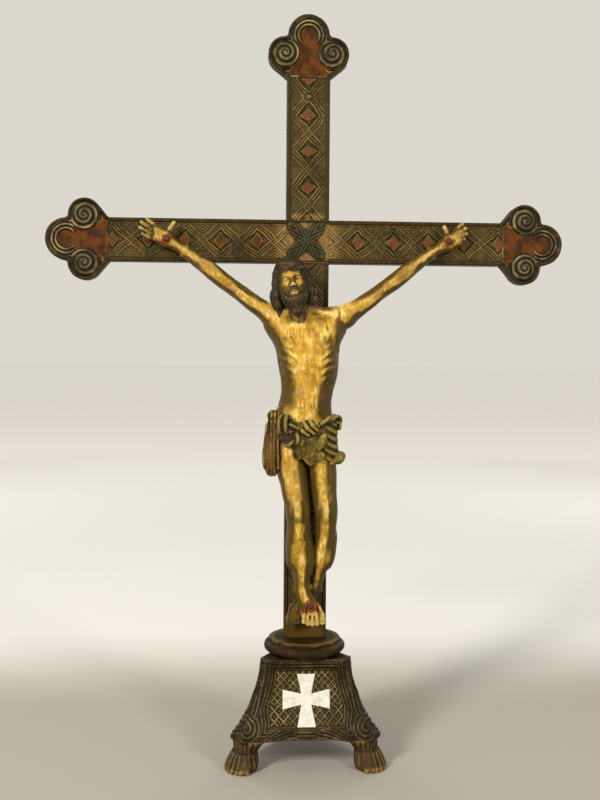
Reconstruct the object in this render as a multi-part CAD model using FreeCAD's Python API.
import FreeCAD, Part
import math
import os

# Altar cross: a carved and painted crucifix on a three-sided pedestal with paw feet.
# Millimetres, +Z up, the front faces -Y and the carved figure is on the front.
# The floor is z = 0 and the origin is under the middle of the whole object.

os.makedirs("parts", exist_ok=True)
V = FreeCAD.Vector

# ---- driving dimensions ----
AXIS_Y = -12.6            # the upright's axis, in front of the origin because of the rear paw

BAR_WIDE = 42.0           # upright and crossbar, across the face
BAR_THICK = 18.0
BAR_FRONT = -BAR_THICK / 2
BAR_TOP_Z = 676.0         # where the top trefoil begins
CROSSING_Z = 516.0        # centre line of the crossbar
BAR_HALF_SPAN = 194.5     # where the side trefoils begin
FIELD_EDGE = 3.6          # width of the raised moulding round the carved fields
FIELD_DEPTH = 1.5

TREFOIL_LENGTH = 61.5
TREFOIL_TIP_R = 20.7      # the end lobe
TREFOIL_SIDE_R = 16.4     # the two side lobes
TREFOIL_SIDE_ALONG = 23.0
TREFOIL_SIDE_OUT = 23.3
BOSS_R = 9.0
BOSS_PROUD = 2.4

PLINTH_BASE_Z = 105.5
PLINTH_TOP_Z = 121.0
PLINTH_R = 40.7

BLOCK_BASE_Z = 29.0
TENON_WIDE = 30.0
TENON_THICK = 12.0
TENON_END_Z = 45.5
TENON_GAP = 0.3           # play on each side, so the cross lifts out

PAW_CENTRE_R = 71.5       # from the axis of the pedestal to the centre of each paw
PAW_REACH = 18.0          # from a paw's centre to the tips of its toes
PAW_TOE_R = 4.6
PAW_DIRECTIONS = {"front_left": 210.0, "front_right": 330.0, "rear": 90.0}

PRESS = 0.02              # pegs are this much fatter than their holes
DEEPER = 0.5              # each blind hole goes this far past the end of its peg
FOOT_PEG_R = 4.0
FOOT_PEG_AT = 65.0        # from the axis of the pedestal
PLINTH_PEG_R = 3.0
PLINTH_PEG_X = 23.5
LAP_PEG_R = 2.5
LAP_PEG_OFFSET = 12.0
FINIAL_PEG_R = 3.5
FINIAL_PEG_HALF = 15.0
SHOULDER_PEG_R = 3.0
NECK_PEG_R = 3.0
BACK_PEG_R = 4.0
BACK_PEG_Z = 402.0
HAND_NAIL_R = 1.4
FOOT_NAIL_R = 1.6
NAIL_TIP_Y = 2.0

# Half widths of the pedestal block seen from the front, from its base to its top.
BLOCK_PROFILE = [
    (29.0, 74.6),
    (34.0, 73.2),
    (40.0, 68.4),
    (48.0, 62.9),
    (58.0, 57.6),
    (70.0, 52.5),
    (82.0, 48.4),
    (94.0, 46.0),
    (105.5, 44.6),
]


# ---- helpers ----
def box(x0, x1, y0, y1, z0, z1):
    return Part.makeBox(x1 - x0, y1 - y0, z1 - z0, V(x0, y0, z0))


def rod(start, end, radius):
    way = end - start
    return Part.makeCylinder(radius, way.Length, start, way)


def capsule(start, end, radius):
    shape = rod(start, end, radius)
    shape = shape.fuse(Part.makeSphere(radius, start))
    return shape.fuse(Part.makeSphere(radius, end))


def ring(centre, u, v, a, b, square=0.0):
    # A closed smooth outline round a centre, from round to slightly square.
    points = []
    for i in range(16):
        t = math.tau * i / 16
        bulge = 1.0 + square * math.sin(2 * t) ** 2
        points.append(centre + u * (a * bulge * math.cos(t)) + v * (b * bulge * math.sin(t)))
    curve = Part.BSplineCurve()
    curve.interpolate(Points=points, PeriodicFlag=True)
    return Part.Wire([curve.toShape()])


def column(sections, square=0.0):
    # An upright solid through rows of (z, centre x, centre y, half width, half depth).
    rings = []
    for z, x, y, a, b in sections:
        rings.append(ring(V(x, y, z), V(1, 0, 0), V(0, 1, 0), a, b, square))
    return Part.makeLoft(rings, True)


def limb(sections):
    # A solid along a path of (x, y, z, half height, half depth), cut square to the path.
    rings = []
    for i, (x, y, z, a, b) in enumerate(sections):
        before = sections[max(i - 1, 0)]
        after = sections[min(i + 1, len(sections) - 1)]
        way = V(after[0] - before[0], 0, after[2] - before[2])
        way.normalize()
        side = V(-way.z, 0, way.x)
        rings.append(ring(V(x, y, z), side, V(0, 1, 0), a, b))
    return Part.makeLoft(rings, True)


def digit(start, end, radius):
    # A short tapered finger or toe with a round tip, turned round its own axis.
    way = end - start
    length = way.Length
    stem = Part.LineSegment(V(radius * 1.1, 0, 0), V(radius, 0, length - radius)).toShape()
    middle = V(radius * math.sin(0.8), 0, length - radius + radius * math.cos(0.8))
    tip = Part.Arc(V(radius, 0, length - radius), middle, V(0, 0, length)).toShape()
    side = Part.LineSegment(V(0, 0, length), V(0, 0, 0)).toShape()
    base = Part.LineSegment(V(0, 0, 0), V(radius * 1.1, 0, 0)).toShape()
    face = Part.Face(Part.Wire([stem, tip, side, base]))
    shape = face.revolve(V(0, 0, 0), V(0, 0, 1), 360)
    shape.Placement = FreeCAD.Placement(start, FreeCAD.Rotation(V(0, 0, 1), way))
    return shape


def peg_and_hole(start, end, radius):
    # A round peg, and the slightly narrower and longer hole that it is driven into.
    way = end - start
    way.normalize()
    hole = rod(start - way * DEEPER, end + way * DEEPER, radius - PRESS)
    return rod(start, end, radius), hole


def fused(shapes):
    whole = shapes[0]
    for shape in shapes[1:]:
        whole = whole.fuse(shape)
    return whole


def largest(shape):
    return max(shape.Solids, key=lambda piece: piece.Volume)


def export(name, shape):
    placed = shape.copy()
    placed.translate(V(0, AXIS_Y, 0))
    placed.exportStep("parts/" + name + ".step")
    print(name, round(placed.Volume / 1000, 2), placed.isValid(), len(placed.Solids))


# ---- pedestal block: three sides with cut corners and hollow flanks ----
def block_outline(z, half_wide, grow):
    share = 0.092 + 0.025 * (PLINTH_BASE_Z - z) / (PLINTH_BASE_Z - BLOCK_BASE_Z)
    side = 2 * half_wide / (1 - share) + grow * 2 * math.sqrt(3)
    cut = share * side
    inner = side / (2 * math.sqrt(3))
    points = []
    for k in range(3):
        turn = math.radians(120 * k)
        for x in (-(side / 2 - cut), side / 2 - cut):
            px = x * math.cos(turn) + inner * math.sin(turn)
            py = x * math.sin(turn) - inner * math.cos(turn)
            points.append(V(px, py, z))
    return Part.makePolygon(points + [points[0]])


def block_body(grow):
    return Part.makeLoft([block_outline(z, w, grow) for z, w in BLOCK_PROFILE], True)


def pattee_cross(depth0, depth1):
    # Four flared arms, drawn on the front and pushed through the front face.
    waist = 4.3
    flare = 9.2
    reach_side = 23.2
    reach_up = 23.6
    reach_down = 24.8
    middle = 67.6
    points = [
        (-waist, waist), (-flare, reach_up), (flare, reach_up), (waist, waist),
        (reach_side, flare), (reach_side, -flare), (waist, -waist),
        (flare, -reach_down), (-flare, -reach_down), (-waist, -waist),
        (-reach_side, -flare), (-reach_side, flare), (-waist, waist),
    ]
    outline = Part.makePolygon([V(x, depth0, middle + z) for x, z in points])
    return Part.Face(outline).extrude(V(0, depth1 - depth0, 0))


block = block_body(0.0)
white_cross = pattee_cross(-60, -15).common(block_body(0.7))
white_cross = white_cross.cut(block_body(-1.6))
front_half = box(-80, 80, -90, -10, 20, 110)
white_cross = white_cross.common(front_half)
mortise = box(
    -TENON_WIDE / 2 - TENON_GAP,
    TENON_WIDE / 2 + TENON_GAP,
    -TENON_THICK / 2 - TENON_GAP,
    TENON_THICK / 2 + TENON_GAP,
    TENON_END_Z - 0.5,
    PLINTH_TOP_Z + 1,
)
block = block.cut(white_cross).cut(mortise)

# ---- round plinth between the block and the upright ----
plinth_edge = [
    (0, PLINTH_BASE_Z), (31.0, PLINTH_BASE_Z), (31.8, 106.6), (36.5, 107.6),
    (39.6, 109.4), (PLINTH_R, 112.2), (40.0, 115.0), (37.4, 117.2),
    (35.6, 118.0), (36.2, 119.4), (35.4, 120.6), (33.8, PLINTH_TOP_Z),
    (0, PLINTH_TOP_Z), (0, PLINTH_BASE_Z),
]
plinth_face = Part.Face(Part.makePolygon([V(r, 0, z) for r, z in plinth_edge]))
plinth = plinth_face.revolve(V(0, 0, 0), V(0, 0, 1), 360)
plinth = plinth.cut(mortise)

plinth_pegs = []
for x in (-PLINTH_PEG_X, PLINTH_PEG_X):
    peg, hole = peg_and_hole(V(x, 0, 96), V(x, 0, 116), PLINTH_PEG_R)
    block = block.cut(hole)
    plinth = plinth.cut(hole)
    plinth_pegs.append(peg)

# ---- paw feet ----
def paw():
    # The paw points along +X from its own centre, with a flat sole on the floor.
    body = column([
        (0.0, 0.5, 0, 13.5, 15.5),
        (5.0, 0.5, 0, 14.5, 16.5),
        (10.0, -0.5, 0, 14.0, 16.2),
        (15.0, -2.0, 0, 12.2, 14.6),
        (20.0, -3.5, 0, 11.0, 14.0),
        (24.0, -5.0, 0, 12.0, 16.0),
        (BLOCK_BASE_Z, -7.0, 0, 13.0, 19.5),
    ])
    toes = []
    for angle in (-56, -28, 0, 28, 56):
        way = V(math.cos(math.radians(angle)), math.sin(math.radians(angle)), 0)
        knuckle = V(-1, 0, 9.2) + way * 6.0
        tip = V(-1, 0, PAW_TOE_R - 0.2) + way * (PAW_REACH - PAW_TOE_R + 1)
        toes.append(capsule(knuckle, tip, PAW_TOE_R))
    whole = fused([body] + toes)
    return whole.common(box(-40, 40, -40, 40, 0, BLOCK_BASE_Z))


paws = {}
foot_pegs = []
for name, angle in PAW_DIRECTIONS.items():
    way = V(math.cos(math.radians(angle)), math.sin(math.radians(angle)), 0)
    foot = paw()
    foot.rotate(V(0, 0, 0), V(0, 0, 1), angle)
    foot.translate(way * PAW_CENTRE_R)
    spot = way * FOOT_PEG_AT
    peg, hole = peg_and_hole(spot + V(0, 0, 8), spot + V(0, 0, 38), FOOT_PEG_R)
    block = block.cut(hole)
    paws[name] = foot.cut(hole)
    foot_pegs.append(peg)

# ---- upright with its tenon, and crossbar ----
half = BAR_WIDE / 2
low = CROSSING_Z - half
high = CROSSING_Z + half
upright = box(-half, half, BAR_FRONT, -BAR_FRONT, PLINTH_TOP_Z, BAR_TOP_Z)
tenon = box(
    -TENON_WIDE / 2, TENON_WIDE / 2, -TENON_THICK / 2, TENON_THICK / 2, TENON_END_Z, PLINTH_TOP_Z
)
upright = upright.fuse(tenon).removeSplitter()
upright = upright.cut(box(-half, half, BAR_FRONT, 0, low, high))
crossbar = box(-BAR_HALF_SPAN, BAR_HALF_SPAN, BAR_FRONT, -BAR_FRONT, low, high)
crossbar = crossbar.cut(box(-half, half, 0, -BAR_FRONT, low, high))

field = half - FIELD_EDGE
floor = BAR_FRONT + FIELD_DEPTH
upright = upright.cut(box(-field, field, BAR_FRONT, floor, PLINTH_TOP_Z + 5, low - 3))
upright = upright.cut(box(-field, field, BAR_FRONT, floor, high + 3, BAR_TOP_Z - 3))
for side in (-1, 1):
    inner = side * (half + 3)
    outer = side * (BAR_HALF_SPAN - 3)
    x0 = min(inner, outer)
    x1 = max(inner, outer)
    crossbar = crossbar.cut(box(x0, x1, BAR_FRONT, floor, CROSSING_Z - field, CROSSING_Z + field))

lap_pegs = []
for side in (-1, 1):
    x = side * LAP_PEG_OFFSET
    z = CROSSING_Z + side * LAP_PEG_OFFSET
    peg, hole = peg_and_hole(V(x, -6, z), V(x, -BAR_FRONT, z), LAP_PEG_R)
    lap_pegs.append(peg)
    upright = upright.cut(hole)
    crossbar = crossbar.cut(hole)


# ---- trefoil ends ----
def trefoil():
    # Drawn as the top one: it starts at z = 0 and its tip is up.
    tip_z = TREFOIL_LENGTH - TREFOIL_TIP_R
    outline = box(-half, half, BAR_FRONT, -BAR_FRONT, 0, tip_z)
    back = V(0, -BAR_FRONT, 0)
    front = V(0, BAR_FRONT, 0)
    lobes = [rod(V(0, 0, tip_z) + back, V(0, 0, tip_z) + front, TREFOIL_TIP_R)]
    for side in (-1, 1):
        spot = V(side * TREFOIL_SIDE_OUT, 0, TREFOIL_SIDE_ALONG)
        lobes.append(rod(spot + back, spot + front, TREFOIL_SIDE_R))
    shape = fused([outline] + lobes)
    for side in (-1, 1):
        spot = V(side * TREFOIL_SIDE_OUT, 0, TREFOIL_SIDE_ALONG)
        ditch = rod(spot + front, spot + front + V(0, 1.2, 0), TREFOIL_SIDE_R - 2.6)
        shape = shape.cut(ditch)
        boss = Part.makeCone(BOSS_R, 4.0, BOSS_PROUD + 1.2, spot + front + V(0, 1.2, 0), V(0, -1, 0))
        shape = shape.fuse(boss)
    scoop = rod(V(0, BAR_FRONT, tip_z), V(0, BAR_FRONT + 1.2, tip_z), TREFOIL_TIP_R - 3.0)
    return shape.cut(scoop)


def on_cross(shape, name):
    placed = shape.copy()
    if name == "top":
        placed.translate(V(0, 0, BAR_TOP_Z))
    else:
        turn = 90 if name == "right" else -90
        placed.rotate(V(0, 0, 0), V(0, 1, 0), turn)
        reach = BAR_HALF_SPAN if name == "right" else -BAR_HALF_SPAN
        placed.translate(V(reach, 0, CROSSING_Z))
    return placed


finials = {}
finial_pegs = []
blank_peg, blank_hole = peg_and_hole(
    V(0, 1, -FINIAL_PEG_HALF), V(0, 1, FINIAL_PEG_HALF), FINIAL_PEG_R
)
for name in ("top", "left", "right"):
    hole = on_cross(blank_hole, name)
    finials[name] = on_cross(trefoil(), name).cut(hole)
    finial_pegs.append(on_cross(blank_peg, name))
    if name == "top":
        upright = upright.cut(hole)
    else:
        crossbar = crossbar.cut(hole)

# ---- figure: trunk, legs and crossed feet in one piece ----
torso = column([
    (313.0, -4.5, -28.5, 29.0, 20.0),
    (330.0, -5.0, -28.5, 29.5, 20.5),
    (345.0, -4.0, -28.0, 28.0, 19.5),
    (357.0, -2.8, -27.5, 25.8, 18.0),
    (369.0, -1.0, -27.5, 25.2, 18.0),
    (381.0, 0.3, -29.0, 27.2, 20.0),
    (395.0, 0.0, -30.5, 29.4, 22.0),
    (410.0, -1.0, -31.0, 31.2, 22.6),
    (424.0, -1.6, -30.5, 33.6, 21.6),
    (436.0, -2.6, -29.5, 37.0, 18.4),
    (445.0, -3.4, -29.5, 29.0, 14.0),
    (452.0, -5.0, -31.0, 13.5, 11.6),
    (461.0, -9.5, -35.0, 11.0, 10.6),
])
left_leg = column([
    (147.0, 7.0, -33.0, 11.6, 4.4),
    (153.0, 5.2, -33.0, 11.2, 5.6),
    (161.0, 1.8, -32.8, 9.8, 7.0),
    (170.0, -2.6, -33.2, 8.4, 8.0),
    (182.0, -5.2, -34.0, 7.6, 8.0),
    (200.0, -5.0, -36.5, 9.0, 10.4),
    (222.0, -7.2, -38.5, 10.6, 12.0),
    (240.0, -9.2, -41.5, 11.4, 11.8),
    (254.0, -10.2, -43.5, 12.0, 12.4),
    (272.0, -12.6, -40.0, 13.0, 13.6),
    (295.0, -16.0, -34.0, 14.8, 15.8),
    (318.0, -18.0, -29.5, 15.6, 18.0),
])
right_leg = column([
    (144.0, -11.5, -16.8, 9.4, 4.4),
    (151.0, -7.4, -17.0, 9.6, 6.0),
    (160.0, -1.0, -18.0, 9.2, 7.6),
    (170.0, 5.0, -20.4, 8.0, 8.2),
    (183.0, 9.6, -24.0, 7.4, 8.0),
    (200.0, 12.0, -27.0, 8.6, 10.4),
    (222.0, 15.6, -31.0, 10.2, 12.0),
    (240.0, 17.4, -35.0, 11.0, 11.8),
    (252.0, 17.6, -37.0, 11.6, 12.4),
    (272.0, 15.8, -35.0, 12.4, 13.6),
    (295.0, 13.4, -31.5, 14.4, 15.8),
    (318.0, 9.8, -28.5, 15.6, 18.0),
])
toes = []
for x, drop, radius in (
    (-2.6, 141.8, 2.4), (1.8, 141.2, 2.4), (6.2, 141.0, 2.5), (10.8, 141.4, 2.6), (15.6, 142.4, 3.3)
):
    toes.append(digit(V(x * 0.9 + 0.6, -33.4, 151), V(x, -34.8, drop), radius))
for x, drop, radius in (
    (-18.6, 138.4, 2.3), (-14.8, 137.6, 2.4), (-10.8, 137.4, 2.5), (-6.6, 137.8, 2.6)
):
    toes.append(digit(V(x * 0.9 - 1, -16.8, 149), V(x, -17.6, drop), radius))
trunk = fused([torso, left_leg, right_leg] + toes)
trunk = trunk.cut(box(-80, 80, BAR_FRONT, 20, 100, 500))

# ---- arms, coped to the shoulders, with open hands ----
left_path = [
    (-24.0, -29.5, 434.0, 12.5, 13.0),
    (-38.0, -28.0, 443.0, 11.6, 12.2),
    (-56.0, -26.0, 456.0, 10.4, 10.6),
    (-76.0, -24.0, 471.0, 9.6, 9.8),
    (-92.0, -22.0, 483.0, 10.2, 9.8),
    (-110.0, -19.0, 496.5, 8.4, 8.0),
    (-126.0, -16.4, 508.0, 6.4, 5.8),
    (-134.0, -15.2, 513.6, 7.6, 5.4),
    (-143.0, -14.6, 518.0, 9.6, 5.2),
    (-150.0, -14.4, 521.6, 9.0, 4.6),
]
left_fingers = [
    ((-147, 527), (-156.5, 534.5)), ((-150, 524), (-162.0, 531.6)),
    ((-151, 520), (-163.4, 526.4)), ((-150, 515.6), (-160.6, 520.4)),
]
right_path = [(-x, y, z, a, b) for x, y, z, a, b in left_path]
right_path = [(x * 1.005, y, z + 0.6 * max(0.0, (x - 90) / 60), a, b) for x, y, z, a, b in right_path]
right_fingers = [
    ((146, 528), (151.6, 534.0)), ((149, 525), (154.4, 529.6)),
    ((150, 521), (155.2, 524.6)), ((149, 517), (153.4, 519.6)),
]


def arm(path, fingers, thumb):
    pieces = [limb(path)]
    for (x0, z0), (x1, z1) in fingers:
        pieces.append(digit(V(x0, -14.4, z0), V(x1, -16.4, z1), 2.3))
    (x0, z0), (x1, z1) = thumb
    pieces.append(digit(V(x0, -16.0, z0), V(x1, -18.0, z1), 2.5))
    whole = fused(pieces)
    return whole.cut(box(-200, 200, BAR_FRONT, 20, 400, 560))


arms = {
    "left": arm(left_path, left_fingers, ((-139, 519), (-130.6, 531.0))),
    "right": arm(right_path, right_fingers, ((139, 520), (133.6, 530.6))),
}
shoulder_pegs = []
for name, side in (("left", -1), ("right", 1)):
    arms[name] = arms[name].cut(trunk)
    peg, hole = peg_and_hole(V(side * 20, -29.5, 431), V(side * 54, -26.2, 454.6), SHOULDER_PEG_R)
    shoulder_pegs.append(peg)
    trunk = trunk.cut(hole)
    arms[name] = arms[name].cut(hole)

# ---- head, a block of its own on a neck peg ----
head_up = V(-0.14, 0.30, 0.94)
head_up.normalize()
head_side = V(1, 0, 0.149)
head_side = head_side - head_up * head_side.dot(head_up)
head_side.normalize()
head_back = head_up.cross(head_side)
head_mid = V(-17.0, -43.0, 470.5)
rings = []
for along, a, b, shift in (
    (-33.0, 3.4, 3.6, -1.0), (-29.0, 7.6, 7.6, -0.8), (-21.0, 11.6, 12.4, 0.0),
    (-11.0, 15.6, 16.6, 0.6), (0.0, 18.0, 18.8, 0.8), (11.0, 18.6, 19.8, 1.0),
    (21.0, 16.4, 18.0, 1.2), (27.5, 11.4, 12.8, 1.4), (31.0, 5.0, 6.0, 1.4),
):
    centre = head_mid + head_up * along + head_back * shift
    rings.append(ring(centre, head_side, head_back, a, b))
skull = Part.makeLoft(rings, True)
locks = [
    capsule(head_mid + head_side * -15 + head_up * -4, V(-29.5, -40.0, 446.5), 4.4),
    capsule(head_mid + head_side * 15 + head_up * -2, V(2.0, -40.0, 452.0), 4.2),
]
nose = capsule(
    head_mid - head_back * 18.4 + head_up * 3.5,
    head_mid - head_back * 19.6 - head_up * 3.5,
    1.8,
)
head = fused([skull, nose] + locks)
head = largest(head.cut(trunk).cut(arms["left"]).cut(arms["right"]))
neck_peg, hole = peg_and_hole(V(-4, -30.5, 436), V(-13.5, -39.5, 468), NECK_PEG_R)
trunk = trunk.cut(hole)
head = head.cut(hole)

# ---- loincloth round the hips, and its hanging end ----
cloth = column([
    (298.0, -5.0, -30.5, 33.0, 20.5),
    (308.0, -4.6, -30.5, 35.0, 22.5),
    (322.0, -5.0, -30.0, 34.6, 23.0),
    (336.0, -5.0, -29.5, 34.2, 22.8),
    (347.0, -4.6, -29.0, 33.0, 22.0),
], 0.03)
belt = []
belt_points = [(-33, -38, 340), (-20, -49.5, 334), (-4, -52.6, 332), (12, -50.0, 336), (27, -39, 342)]
for start, end in zip(belt_points[:-1], belt_points[1:]):
    belt.append(capsule(V(*start), V(*end), 4.2))
cloth = fused([cloth] + belt)
cloth = cloth.cut(trunk)
cloth = cloth.cut(box(-80, 80, BAR_FRONT, 20, 100, 500))
tail = column([
    (288.0, -35.6, -41.0, 6.4, 3.8),
    (300.0, -36.0, -42.4, 7.6, 4.4),
    (320.0, -35.6, -43.0, 7.4, 4.6),
    (336.0, -34.6, -42.6, 6.8, 4.8),
    (346.0, -33.8, -41.4, 5.0, 4.0),
], 0.12)
tail = largest(tail.cut(cloth).cut(trunk))

# ---- fixings: one peg through the back, and three nails ----
corpus_peg, hole = peg_and_hole(V(0, -26, BACK_PEG_Z), V(0, -BAR_FRONT, BACK_PEG_Z), BACK_PEG_R)
trunk = trunk.cut(hole)
upright = upright.cut(hole)


def nail(head_at, radius, head_radius):
    # A forged nail driven along +Y, and the hole for its shank.
    shank = rod(head_at, V(head_at.x, NAIL_TIP_Y, head_at.z), radius)
    cap = Part.makeCone(head_radius, head_radius * 0.55, 2.4, head_at, V(0, -1, 0))
    end = V(head_at.x, NAIL_TIP_Y + DEEPER, head_at.z)
    hole = rod(head_at + V(0, -3, 0), end, radius - PRESS)
    return shank.fuse(cap).removeSplitter(), hole


nails = {}
for name, spot in (("left", V(-137.5, -20.8, 515.8)), ("right", V(138.5, -20.8, 517.0))):
    nails["nail_" + name + "_hand"], hole = nail(spot, HAND_NAIL_R, 3.2)
    arms[name] = arms[name].cut(hole)
    crossbar = crossbar.cut(hole)
nails["nail_feet"], hole = nail(V(3.0, -40.4, 161.0), FOOT_NAIL_R, 4.0)
trunk = trunk.cut(hole)
upright = upright.cut(hole)

# ---- files ----
export("pedestal_block", block)
export("round_plinth", plinth)
export("white_cross_inlay", white_cross)
export("paw_foot_front_left", paws["front_left"])
export("paw_foot_front_right", paws["front_right"])
export("paw_foot_rear", paws["rear"])
export("foot_dowels", Part.makeCompound(foot_pegs))
export("plinth_dowels", Part.makeCompound(plinth_pegs))
export("upright", upright)
export("crossbar", crossbar)
export("trefoil_top", finials["top"])
export("trefoil_left", finials["left"])
export("trefoil_right", finials["right"])
export("finial_dowels", Part.makeCompound(finial_pegs))
export("lap_joint_pegs", Part.makeCompound(lap_pegs))
export("corpus_trunk", trunk)
export("corpus_head", head)
export("corpus_arm_left", arms["left"])
export("corpus_arm_right", arms["right"])
export("loincloth", cloth)
export("loincloth_tail", tail)
export("neck_dowel", neck_peg)
export("shoulder_dowels", Part.makeCompound(shoulder_pegs))
export("corpus_back_peg", corpus_peg)
for name, shape in nails.items():
    export(name, shape)
